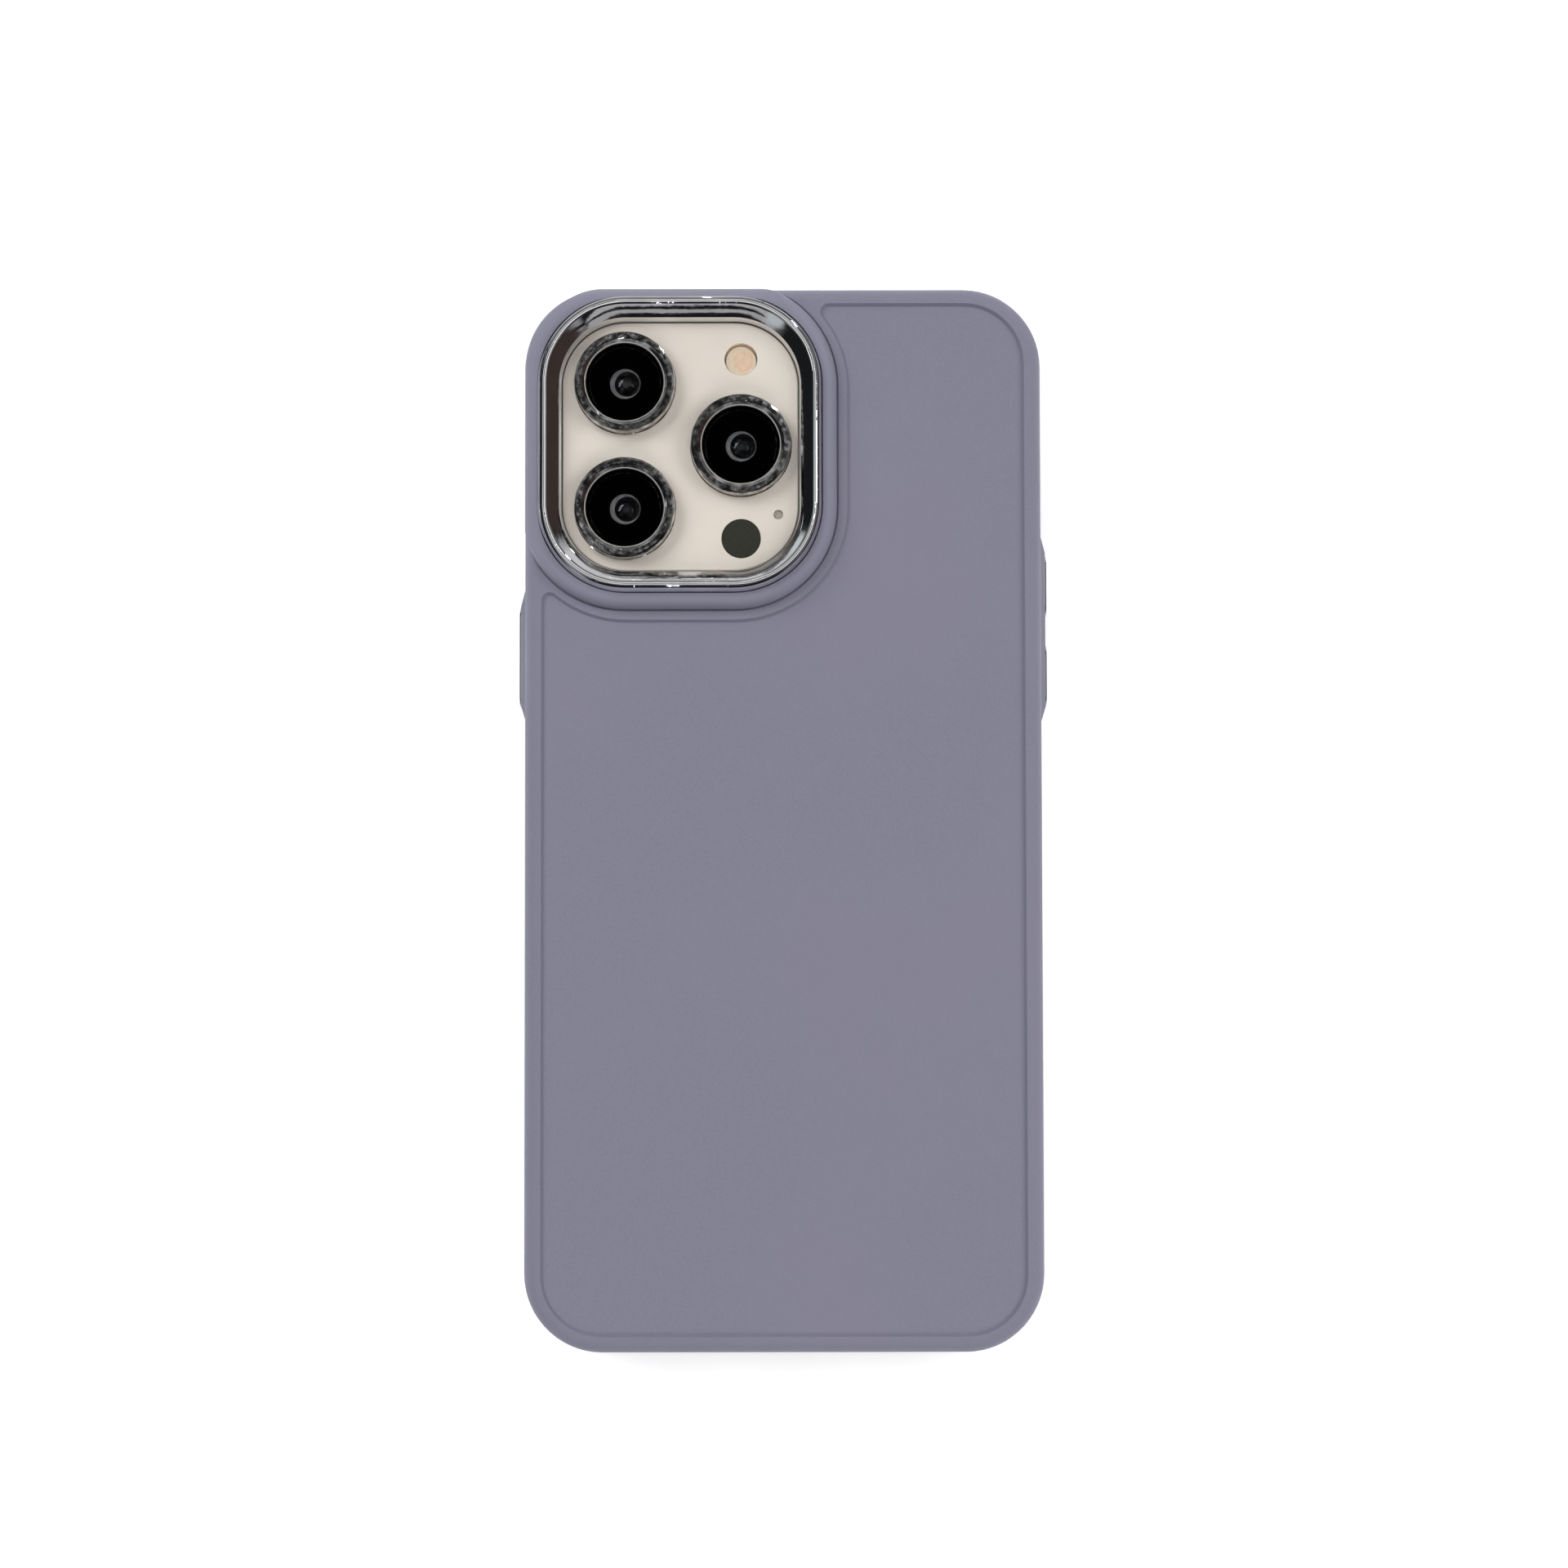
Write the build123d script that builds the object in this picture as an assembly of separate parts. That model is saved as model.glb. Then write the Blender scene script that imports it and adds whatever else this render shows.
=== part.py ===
"""A large smartphone in a soft protective cover, lying on its screen.

Millimetres. The screen faces -Z and the camera side +Z. +Y is the phone's top and +X is the right
side as seen from behind, where the volume keys are. The origin is the bottom centre of the cover.
"""

import os

from build123d import *

# Soft cover
COVER_W = 80.1
COVER_L = 164.6
COVER_R = 12.1
COVER_WALL = 1.6
COVER_BACK_EDGE = 2.4
COVER_FRONT_EDGE = 1.4
FIT_GAP = 0.05
LIP_REACH = 0.9
RIM_Z = 10.4
PANEL_DEPTH = 0.45
PANEL_INSET = 2.75
PANEL_SLOPE = 0.4
PANEL_LIP = 0.03
PANEL_END_R = 1.3

# Phone
PHONE_W = COVER_W - 2 * (COVER_WALL + FIT_GAP)
PHONE_L = COVER_L - 2 * (COVER_WALL + FIT_GAP)
PHONE_R = COVER_R - COVER_WALL - FIT_GAP
HALF_W = PHONE_W / 2
HALF_L = PHONE_L / 2
SCREEN_Z = 1.0
REAR_Z = 8.8
BAND_LOW = 1.25
BAND_HIGH = 8.55
BAND_MID = (BAND_LOW + BAND_HIGH) / 2
BAND_WALL = 2.4
BAND_EDGE = 0.3
GLASS_T = 0.6
REBATE = 0.5
GASKET_W = 0.3
CHASSIS_Z = (7.8, 8.15)
PANEL_Z = (1.6, 2.5)
SHIELD_Z = (2.5, 2.8)

# Camera area: everything is placed from its centre
CAM_X, CAM_Y = -15.8, 57.2
RING_W, RING_L, RING_R = 43.8, 45.9, 13.6
RING_BAND = 3.6
RING_SKIRT = 1.0
RING_SEAT_Z = 11.4
RING_TOP_Z = 13.6
RING_FOOT_Z = 9.1
RING_BEVEL_Z = 12.1
COLLAR_REACH = 2.2
COLLAR_Z = 12.3
COLLAR_ROUND = 1.7
COLLAR_OUTER_ROUND = 3.9
COLLAR_OVERRUN = 0.3
GROOVE_W, GROOVE_DEPTH = 0.3, 0.2
STRIP_W = 1.6
PLATEAU_Z = 10.7
PLATEAU_GAP = 0.06
PLATEAU_EDGE = 0.3
LENSES = {"upper": (-8.5, 9.65), "lower": (-8.5, -9.75), "side": (9.35, -0.05)}
LENS_RING_R = 7.75
LENS_RING_Z = 12.6
LENS_GLASS_R = 6.0
LENS_GLASS_Z = (11.3, 12.05)
LENS_TUBE_R = 6.9
APERTURE_R = 2.5
ELEMENT_R = 1.5
FOCUS_TRAVEL = 0.3
BAFFLE_Z = (LENS_GLASS_Z[0] - 0.25, LENS_GLASS_Z[0])
BARREL_TOP = BAFFLE_Z[0] - FOCUS_TRAVEL - 0.05
BARREL_SEAT = BARREL_TOP - 1.4
DOME_R = 2.6
HOUSING_SIDE = 14.4
HOUSING_Z = (3.8, 7.7)
FLASH_AT, FLASH_R = (9.35, 13.5), 2.55
DEPTH_AT, DEPTH_R = (9.35, -14.3), 3.05
MIC_AT, MIC_R = (15.1, -10.6), 0.75
CAMERA_WELL = (34.0, 36.0, 8.6)

# Side keys and bottom edge: u and v are distances outward from the phone's side and bottom edge
LEFT, RIGHT = -1, 1
KEY_H = 2.8
KEY_PROUD = 0.35
KEY_TRAVEL = 0.3
KEY_GAP = 0.06
KEY_SHORTER = 1.0
KEY_FLANGE = 0.8
KEY_FLANGE_U = (-1.7, -1.1)
LEDGE_U = -1.05
CAP_H = 3.4
CAP_PROUD = 0.35
CAP_GAP = 0.12
CAP_FLANGE = 0.7
CAP_FLANGE_T = 0.5
PAD_PROUD = 0.85
PAD_H = 5.6
PAD_RAMP = 2.6
KEYS = {"power": (LEFT, 25.4, 16.0), "volume_up": (RIGHT, 36.4, 9.9), "volume_down": (RIGHT, 22.3, 9.9)}
PADS = {"power": (LEFT, 25.4, 20.6), "volume": (RIGHT, 29.35, 29.2)}
SLIDER_Y = 51.5
SLIDER_L, SLIDER_H = 5.0, 1.7
SLIDER_PROUD = 0.45
SLIDER_FLANGE_U = (-1.8, -1.2)
SLIDER_TRAVEL = 1.1
SLIDER_OPENING = (11.0, 5.6)
ANTENNA_W, ANTENNA_DEPTH = 1.1, 0.9
ANTENNA_Y, ANTENNA_X = 66.0, 27.0

PORT_W, PORT_H, PORT_WALL, PORT_DEPTH = 9.0, 3.2, 0.3, 7.4
PORT_END = 0.5
PORT_OPENING = (13.0, 6.6)
PORT_BODY_W, PORT_BODY_L, PORT_BODY_Z = 13.2, 9.0, (3.0, 7.0)
TONGUE_W, TONGUE_L, TONGUE_T = 6.7, 5.2, 0.7
GRILLE_X = [11.5, 14.0, 16.5, 19.0, 21.5]
GRILLE_R = 0.75
GRILLE_OPENING = (14.0, 3.0)
MESH_X, MESH_Z = (10.3, 22.7), (3.8, 6.0)
SCREW_X = 7.6
SCREW_HEAD_R, SCREW_SHANK_R = 0.95, 0.6
EARPIECE_Y, EARPIECE_W, EARPIECE_H = HALF_L - 1.75, 11.0, 0.7

# Inside: limits along X, then Y, then Z
INNER_Y = -HALF_L + BAND_WALL
BATTERY_Z = (3.0, 7.2)
BATTERY_TALL, BATTERY_FOOT = ((-34.5, 3.5), (-50.0, 35.0)), ((3.4, 34.5), (-50.0, 5.0))
BOARD_Z = (5.0, 5.8)
BOARD_XY, BOARD_NOTCH = ((5.5, 35.0), (8.0, 66.0)), ((28.0, 36.0), (44.0, 59.0))
CAN_HIGH, CAN_LOW = 7.2, 3.1
CANS_ABOVE = [((7, 20), (10, 34)), ((21.5, 33.5), (10, 34)), ((7, 27), (36, 64))]
CANS_BELOW = [((7, 27), (38, 64)), ((8, 33), (10, 36))]
COIL_AT, COIL_R, COIL_Z = (0.0, -8.0), (10.5, 23.0), (7.6, 8.1)
COIL_TURNS, COIL_FILL = 6, 0.82
FRONT_CAM_AT, FRONT_CAM_SIDE = (0.0, 72.0), 6.6
EARPIECE_BOX = ((6.5, 21.5), (69.5, 77.5), (3.0, 6.6))
SPEAKER_BOX = ((9.5, 34.0), (-74.0, -54.0), (3.0, 7.4))
SPEAKER_MOUTH = ((10.3, 22.7), (INNER_Y + 0.65, -73.5), (3.7, 6.1))
SPEAKER_DUCT = ((11.0, 22.0), (INNER_Y - 0.25, -70.0), (4.2, 5.6))
MICROPHONE_BOX = ((-20.5, -12.5), (INNER_Y + 0.65, -73.6), (3.8, 6.0))
HAPTIC_X, HAPTIC_Y, HAPTIC_Z = (-34.0, -9.0), (-66.5, -54.0), (3.0, 7.2)
HAPTIC_WALL, HAPTIC_LID = 0.5, 0.3
HAPTIC_TRAVEL, HAPTIC_SPRING, HAPTIC_GAP = 0.8, 3.2, 0.3
INNER_SCREWS = [(30.5, 46.5), (30.5, 56.5), (3.4, 76.0), (-35.0, 36.5), (6.8, -52.0), (-7.8, -60.0)]
FILM = 0.2


def slab(width, length, radius, low, high, x=0.0, y=0.0):
    """An upright prism with a rounded rectangle for its outline."""
    return Pos(x, y, low) * extrude(RectangleRounded(width, length, radius), high - low)


def phone_slab(inset, low, high):
    """A slab of the phone's own outline, moved inward by inset."""
    return slab(PHONE_W - 2 * inset, PHONE_L - 2 * inset, PHONE_R - inset, low, high)


def block(xs, ys, zs):
    """A box from three pairs of limits."""
    sizes = [high - low for low, high in (xs, ys, zs)]
    middle = [(high + low) / 2 for low, high in (xs, ys, zs)]
    return Pos(*middle) * Box(*sizes)


def post(x, y, radius, low, high):
    """An upright cylinder."""
    return Pos(x, y, (low + high) / 2) * Cylinder(radius, high - low)


def turned(profile, x, y):
    """A solid of revolution about an upright axis, from (radius, z) points."""
    outline = Polyline(*[(r, 0, z) for r, z in profile], close=True)
    return Pos(x, y, 0) * revolve(make_face(outline), Axis.Z)


def out_of_side(sketch, side, y, u_low, u_high, z=BAND_MID):
    """A prism that points out of the phone's left or right side."""
    plane = Plane(origin=(side * (HALF_W + u_low), y, z), x_dir=(0, 1, 0), z_dir=(side, 0, 0))
    return extrude(plane * sketch, u_high - u_low)


def side_bar(side, y, length, height, u_low, u_high, z=BAND_MID):
    """A bar with round ends that points out of the phone's left or right side."""
    return out_of_side(SlotOverall(length, height), side, y, u_low, u_high, z)


def out_of_bottom(sketch, x, v_low, v_high):
    """A prism that points out of the phone's bottom edge."""
    plane = Plane(origin=(x, -HALF_L - v_low, BAND_MID), x_dir=(1, 0, 0), z_dir=(0, -1, 0))
    return extrude(plane * sketch, v_high - v_low)


def bottom_bar(x, width, height, v_low, v_high):
    """A bar with round ends that points out of the phone's bottom edge."""
    return out_of_bottom(SlotOverall(width, height), x, v_low, v_high)


def bottom_rod(x, radius, v_low, v_high):
    """A round rod that points out of the phone's bottom edge."""
    return out_of_bottom(Circle(radius), x, v_low, v_high)


def edges_at(part, z):
    """The edges that lie in one horizontal plane."""
    return part.edges().filter_by_position(Axis.Z, z - 1e-4, z + 1e-4)


def cam(offset):
    """A point in the camera area, from its offset to the area's centre."""
    return CAM_X + offset[0], CAM_Y + offset[1]


def camera_slab(grow, low, high):
    """A slab of the camera ring's outline, moved outward by grow."""
    return slab(RING_W + 2 * grow, RING_L + 2 * grow, RING_R + grow, low, high, CAM_X, CAM_Y)


# ---------------------------------------------------------------- soft cover


def cover_outside():
    """The cover's outer form: body, camera collar and the pads round the side buttons."""
    body = slab(COVER_W, COVER_L, COVER_R, 0, RIM_Z)
    body = fillet(edges_at(body, RIM_Z), COVER_BACK_EDGE)
    body = fillet(edges_at(body, 0), COVER_FRONT_EDGE)
    for side, y, length in PADS.values():
        body += button_pad(side, y, length)
    return body - collar_slab(GROOVE_W, RIM_Z - GROOVE_DEPTH, COLLAR_Z) + camera_collar()


def collar_slab(grow, low_z, high_z):
    """A slab of the camera collar's outline, which runs past the cover's left and top edges."""
    left, right = -COVER_W / 2 - COLLAR_OVERRUN, CAM_X + RING_W / 2 + COLLAR_REACH
    low, top = CAM_Y - RING_L / 2 - COLLAR_REACH, COVER_L / 2 + COLLAR_OVERRUN
    size = right - left + 2 * grow, top - low + 2 * grow, RING_R + COLLAR_REACH + grow
    return slab(*size, low_z, high_z, (left + right) / 2, (low + top) / 2)


def camera_collar():
    """The raised collar round the camera, trimmed by a rounder form of the cover's own edges."""
    low_z = RIM_Z - COVER_BACK_EDGE
    collar = collar_slab(0, low_z, COLLAR_Z)
    collar = fillet(edges_at(collar, COLLAR_Z), COLLAR_ROUND)
    trim = slab(COVER_W, COVER_L, COVER_R, low_z, COLLAR_Z)
    return collar & fillet(edges_at(trim, COLLAR_Z), COLLAR_OUTER_ROUND)


def button_pad(side, y, length):
    """A low pad on the cover's side wall, with ramps at its ends and round long edges."""
    wall = side * (COVER_W / 2 - COVER_WALL / 2)
    crown = side * (COVER_W / 2 + PAD_PROUD)
    foot = side * COVER_W / 2
    half = length / 2
    outline = Polyline(
        (wall, y - half), (foot, y - half), (crown, y - half + PAD_RAMP),
        (crown, y + half - PAD_RAMP), (foot, y + half), (wall, y + half), close=True,
    )
    pad = Pos(0, 0, BAND_MID - PAD_H / 2) * extrude(make_face(outline), PAD_H)
    long_edges = pad.edges().filter_by(Axis.Y).group_by(Axis.X)[0 if side == LEFT else -1]
    return chamfer(long_edges, PAD_PROUD - FIT_GAP)


def back_panel():
    """The outline of the flat back panel: the back, less the camera area and a strip round it."""
    panel = RectangleRounded(
        COVER_W - 2 * PANEL_INSET, COVER_L - 2 * PANEL_INSET, COVER_R - PANEL_INSET
    )
    reach = COLLAR_REACH + STRIP_W
    around = RectangleRounded(RING_W + 2 * reach, RING_L + 2 * reach, RING_R + reach)
    panel -= Pos(CAM_X, CAM_Y) * around
    top_end = panel.vertices().group_by(Axis.Y)[-1].sort_by(Axis.X)[0]
    side_end = panel.vertices().group_by(Axis.X)[0].sort_by(Axis.Y)[-1]
    return fillet([top_end, side_end], PANEL_END_R)


def panel_recess():
    """The shallow recess of the back panel, with a soft slope down from the rim."""
    floor_z = RIM_Z - PANEL_DEPTH
    recess = Pos(0, 0, floor_z) * extrude(back_panel(), PANEL_DEPTH * 2)
    floor = recess.faces().sort_by(Axis.Z)[0]
    return chamfer(edges_at(recess, floor_z), PANEL_SLOPE, PANEL_DEPTH - PANEL_LIP, reference=floor)


def cover_shell():
    """The soft cover, with its front lip, camera opening, button windows and cut-outs."""
    shell = cover_outside() - panel_recess()
    shell -= phone_slab(-FIT_GAP, SCREEN_Z - FIT_GAP, REAR_Z + FIT_GAP)
    shell -= phone_slab(LIP_REACH, -1, SCREEN_Z)
    shell -= camera_slab(FIT_GAP, RING_SEAT_Z, RING_TOP_Z)
    shell -= camera_slab(RING_SKIRT - RING_BAND + FIT_GAP, REAR_Z, RING_TOP_Z)
    outside = COVER_WALL + PAD_PROUD + 1
    pocket = KEY_PROUD + FIT_GAP + CAP_FLANGE_T + 0.2
    for side, y, length in KEYS.values():
        flange = 2 * (CAP_FLANGE + CAP_GAP)
        shell -= side_bar(side, y, length + 2 * CAP_GAP, CAP_H + 2 * CAP_GAP, 0, outside)
        shell -= side_bar(side, y, length + flange, CAP_H + flange, 0, pocket)
    shell -= side_bar(RIGHT, SLIDER_Y, *SLIDER_OPENING, 0, outside)
    shell -= bottom_bar(0, *PORT_OPENING, -1, outside)
    for x in (-GRILLE_X[2], GRILLE_X[2]):
        shell -= bottom_bar(x, *GRILLE_OPENING, -1, outside)
    return shell


def cover_camera_ring():
    """The bright ring round the camera: a bevel outside, a low crown, a rounded slope and a skirt."""
    path = Pos(CAM_X, CAM_Y, 0) * RectangleRounded(RING_W, RING_L, RING_R).wire()
    start, along = path @ 0, path % 0
    inward = Vector(CAM_X, CAM_Y, 0) - start
    inward = (inward - along * inward.dot(along)).normalized()
    section = Plane(origin=start, x_dir=inward, z_dir=inward.cross(Vector(0, 0, 1)))
    skirt = RING_BAND - RING_SKIRT
    bevel_foot = (0, RING_BEVEL_Z)
    bevel_top = (0.55, RING_TOP_Z - 0.2)
    crown_end = (1.45, RING_TOP_Z - 0.046)
    slope_top = (1.7, RING_TOP_Z - 0.177)
    lip = (RING_BAND - 0.3, PLATEAU_Z + 1.28)
    foot = (RING_BAND, PLATEAU_Z + 0.15)
    with BuildSketch(section) as profile:
        with BuildLine():
            Polyline((skirt, RING_FOOT_Z), (skirt, RING_SEAT_Z), (0, RING_SEAT_Z), bevel_foot, bevel_top)
            ThreePointArc(bevel_top, (1.15, RING_TOP_Z), crown_end)
            ThreePointArc(crown_end, (1.58, RING_TOP_Z - 0.1), slope_top)
            ThreePointArc(slope_top, (2.527, RING_TOP_Z - 0.87), lip)
            Polyline(lip, foot, (RING_BAND, RING_FOOT_Z), (skirt, RING_FOOT_Z))
        make_face()
    return sweep(profile.sketch, path=path)


def cover_button(name):
    """One bright button of the cover: a crowned cap with a flange that keeps it in its window."""
    side, y, length = KEYS[name]
    foot = KEY_PROUD + FIT_GAP
    top = COVER_WALL + FIT_GAP + PAD_PROUD + CAP_PROUD
    flange_u = (foot, foot + CAP_FLANGE_T)
    flange = side_bar(side, y, length + 2 * CAP_FLANGE, CAP_H + 2 * CAP_FLANGE, *flange_u)
    cap = side_bar(side, y, length, CAP_H, foot, top)
    rim = cap.edges().group_by(Axis.X)[0 if side == LEFT else -1]
    return fillet(rim, 0.3) + flange


# ---------------------------------------------------------------- phone shell


def key_slots():
    """What the side keys and the alert slider cut out of the band."""
    inside, outside, pocket = -BAND_WALL - 1, 1, -BAND_WALL - 0.5
    flange = 2 * (KEY_FLANGE + KEY_GAP)
    for side, y, length in KEYS.values():
        key_l = length - KEY_SHORTER
        yield side_bar(side, y, key_l + 2 * KEY_GAP, KEY_H + 2 * KEY_GAP, inside, outside)
        yield side_bar(side, y, key_l + flange, KEY_H + flange, pocket, LEDGE_U)
    slot_h = SLIDER_H + SLIDER_TRAVEL + 2 * KEY_GAP
    yield side_bar(RIGHT, SLIDER_Y, SLIDER_L + 1.2, slot_h, inside, outside)
    yield side_bar(RIGHT, SLIDER_Y, SLIDER_L + 2.6, slot_h + 1.0, pocket, LEDGE_U)


def antenna_places():
    """Where the plastic antenna breaks cross the band: two on each long side, two at each end."""
    half = ANTENNA_W / 2
    zs = (BAND_LOW, CHASSIS_Z[0])
    for side in (LEFT, RIGHT):
        xs = sorted((side * HALF_W, side * (HALF_W - ANTENNA_DEPTH)))
        ys = sorted((side * HALF_L, side * (HALF_L - ANTENNA_DEPTH)))
        for end in (-1, 1):
            yield block(xs, (end * ANTENNA_Y - half, end * ANTENNA_Y + half), zs)
            yield block((end * ANTENNA_X - half, end * ANTENNA_X + half), ys, zs)


def band_stock():
    """The band before its grooves are cut."""
    band = phone_slab(0, BAND_LOW, BAND_HIGH)
    band = fillet(edges_at(band, BAND_LOW) + edges_at(band, BAND_HIGH), BAND_EDGE)
    band -= phone_slab(BAND_WALL, BAND_LOW - 1, BAND_HIGH + 1)
    band -= phone_slab(REBATE, BAND_LOW - 1, SCREEN_Z + GLASS_T)
    band -= phone_slab(REBATE, REAR_Z - GLASS_T, BAND_HIGH + 1)
    band -= phone_slab(BAND_WALL / 2, CHASSIS_Z[0], BAND_HIGH)
    return band


def side_band():
    """The metal band round the phone, with slots for keys, port, grilles and screws."""
    band = band_stock()
    for cut in (*key_slots(), *antenna_places()):
        band -= cut
    band -= bottom_bar(0, PORT_W + 2 * FIT_GAP, PORT_H + 2 * FIT_GAP, -BAND_WALL - 1, 1)
    for x in GRILLE_X:
        for side in (LEFT, RIGHT):
            band -= bottom_rod(side * x, GRILLE_R, -BAND_WALL - 1, 1)
    for x in (-SCREW_X, SCREW_X):
        band -= bottom_rod(x, SCREW_HEAD_R + FIT_GAP, -0.75, 1)
        band -= bottom_rod(x, SCREW_SHANK_R + FIT_GAP, -BAND_WALL - 1, 0)
    return band


def antenna_breaks():
    """The plastic strips that part the band's antennas, trimmed to the band's own form."""
    stock = band_stock()
    return Compound([solid for cut in antenna_places() for solid in (cut & stock).solids()])


def rear_glass():
    """The back plate, with an opening for the camera area."""
    plate = phone_slab(REBATE + FIT_GAP, REAR_Z - GLASS_T, REAR_Z)
    plate = fillet(edges_at(plate, REAR_Z), 0.3)
    return plate - camera_slab(PLATEAU_GAP / 2 - RING_BAND, 0, RING_TOP_Z)


def camera_plateau():
    """The raised glass block that carries the lenses, the flash, the depth sensor and a microphone."""
    plateau = camera_slab(-PLATEAU_GAP - RING_BAND, CHASSIS_Z[1], PLATEAU_Z)
    plateau = fillet(edges_at(plateau, PLATEAU_Z), PLATEAU_EDGE)
    for offset in LENSES.values():
        plateau -= post(*cam(offset), LENS_TUBE_R + FIT_GAP, 0, RING_TOP_Z)
    for offset, radius in ((FLASH_AT, FLASH_R), (DEPTH_AT, DEPTH_R), (MIC_AT, MIC_R)):
        plateau -= post(*cam(offset), radius, 0, RING_TOP_Z)
    return plateau


def screen_glass():
    """The front glass, with a slot for the earpiece."""
    glass = phone_slab(REBATE + FIT_GAP + GASKET_W, SCREEN_Z, SCREEN_Z + GLASS_T)
    glass = fillet(edges_at(glass, SCREEN_Z), 0.35)
    return glass - Pos(0, EARPIECE_Y, 0) * extrude(SlotOverall(EARPIECE_W, EARPIECE_H), 3)


def screen_gasket():
    """The plastic ring between the front glass and the band."""
    gap = REBATE + FIT_GAP
    outer = phone_slab(gap, SCREEN_Z + 0.15, SCREEN_Z + GLASS_T)
    return outer - phone_slab(gap + GASKET_W, 0, 3)


def earpiece_mesh():
    """The dust mesh in the earpiece slot."""
    slot = SlotOverall(EARPIECE_W - 2 * FIT_GAP, EARPIECE_H - 2 * FIT_GAP)
    return Pos(0, EARPIECE_Y, SCREEN_Z + 0.15) * extrude(slot, 0.3)


# ---------------------------------------------------------------- rear cameras


def lens_ring(name):
    """The polished trim ring round one lens, with a ledge for the lens glass."""
    ledge, glass = LENS_GLASS_Z[0], LENS_GLASS_R + FIT_GAP
    profile = [
        (5.5, CHASSIS_Z[1] + 0.1), (LENS_TUBE_R, CHASSIS_Z[1] + 0.1), (LENS_TUBE_R, PLATEAU_Z),
        (LENS_RING_R + 0.1, PLATEAU_Z), (LENS_RING_R + 0.1, PLATEAU_Z + 0.25),
        (LENS_RING_R, PLATEAU_Z + 0.35), (LENS_RING_R, LENS_RING_Z - 0.35),
        (LENS_RING_R - 0.12, LENS_RING_Z - 0.1), (LENS_RING_R - 0.4, LENS_RING_Z),
        (6.7, LENS_RING_Z), (6.55, LENS_RING_Z - 0.08), (6.2, LENS_RING_Z - 0.4),
        (glass, LENS_RING_Z - 0.45), (glass, ledge), (5.5, ledge),
    ]
    return turned(profile, *cam(LENSES[name]))


def at_each_lens(make):
    """The same piece at every lens, as one node of separate solids."""
    return Compound([make(*cam(offset)).solid() for offset in LENSES.values()])


def lens_glasses():
    """The flat cover glasses of the three lenses."""

    def disc(x, y):
        glass = post(x, y, LENS_GLASS_R, *LENS_GLASS_Z)
        return chamfer(edges_at(glass, LENS_GLASS_Z[1]), 0.1)

    return at_each_lens(disc)


def lens_baffles():
    """The black rings under the lens glasses that hide the modules."""
    low, top = BAFFLE_Z
    profile = [(APERTURE_R, low), (5.4, low), (5.4, top), (APERTURE_R, top)]
    return at_each_lens(lambda x, y: turned(profile, x, y))


def lens_barrel(name):
    """The lens barrel that the focus actuator lifts, with a bright bevel round its front element."""
    profile = [
        (0.0, 5.2), (4.6, 5.2), (4.6, BARREL_TOP - 0.9), (2.35, BARREL_TOP - 0.9),
        (2.35, BARREL_TOP), (1.95, BARREL_TOP), (ELEMENT_R, BARREL_TOP - 0.45),
        (ELEMENT_R, BARREL_SEAT), (0.0, BARREL_SEAT),
    ]
    return turned(profile, *cam(LENSES[name]))


def front_element(name):
    """The domed front element of one lens."""
    x, y = cam(LENSES[name])
    disc = post(x, y, ELEMENT_R - 0.03, BARREL_SEAT, BARREL_TOP)
    return disc & Pos(x, y, BARREL_SEAT + 1.15 - DOME_R) * Sphere(DOME_R)


def camera_housings():
    """The three actuator housings, each open at the top for its barrel."""

    def housing(x, y):
        body = slab(HOUSING_SIDE, HOUSING_SIDE, 0.8, *HOUSING_Z, x, y)
        return body - post(x, y, 4.9, 5.0, 9.0)

    return at_each_lens(housing)


def sensor_boards():
    """The image sensors' small boards, one under each camera."""
    low, high = HOUSING_Z[0] - 0.7, HOUSING_Z[0]
    return at_each_lens(lambda x, y: slab(HOUSING_SIDE, HOUSING_SIDE, 0.8, low, high, x, y))


def camera_bracket():
    """The stiff plate that locates the cameras, the flash and the depth sensor."""
    plate = slab(*CAMERA_WELL[:2], CAMERA_WELL[2], 6.2, 7.4, CAM_X, CAM_Y)
    for offset in LENSES.values():
        side = HOUSING_SIDE + 2 * FIT_GAP
        plate -= slab(side, side, 0.8, 0, 9, *cam(offset))
    return plate


def flash_window():
    """The clear window over the flash."""
    return post(*cam(FLASH_AT), FLASH_R - FIT_GAP, PLATEAU_Z - 0.45, PLATEAU_Z - 0.1)


def flash_led():
    """The flash emitter in its round cup."""
    return post(*cam(FLASH_AT), FLASH_R - 0.25, 7.45, PLATEAU_Z - 1.0)


def depth_sensor_window():
    """The dark window of the depth sensor."""
    disc = post(*cam(DEPTH_AT), DEPTH_R - 0.03, PLATEAU_Z - 0.6, PLATEAU_Z)
    return chamfer(edges_at(disc, PLATEAU_Z), 0.05)


def depth_sensor_module():
    """The depth sensor behind its window."""
    return post(*cam(DEPTH_AT), DEPTH_R - 0.2, 7.45, PLATEAU_Z - 0.65)


def rear_mic_mesh():
    """The dust mesh in the rear microphone hole."""
    return post(*cam(MIC_AT), MIC_R - 0.02, PLATEAU_Z - 0.6, PLATEAU_Z - 0.4)


# ---------------------------------------------------------------- display and front camera


def display_panel():
    """The display panel, with a hole for the front camera."""
    panel = phone_slab(BAND_WALL + 0.2, *PANEL_Z)
    return panel - post(*FRONT_CAM_AT, 2.2, 0, 9)


def display_shield():
    """The metal sheet behind the display."""
    sheet = phone_slab(BAND_WALL + 0.6, *SHIELD_Z)
    return sheet - post(*FRONT_CAM_AT, 2.4, 0, 9)


def front_camera_module():
    """The front camera: a square body and a round snout that reaches the glass."""
    x, y = FRONT_CAM_AT
    body = slab(FRONT_CAM_SIDE, FRONT_CAM_SIDE, 0.6, 2.9, 6.1, x, y) + post(x, y, 1.9, 1.65, 3.0)
    return body - post(x, y, 1.2, 0, 3.0)


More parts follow.
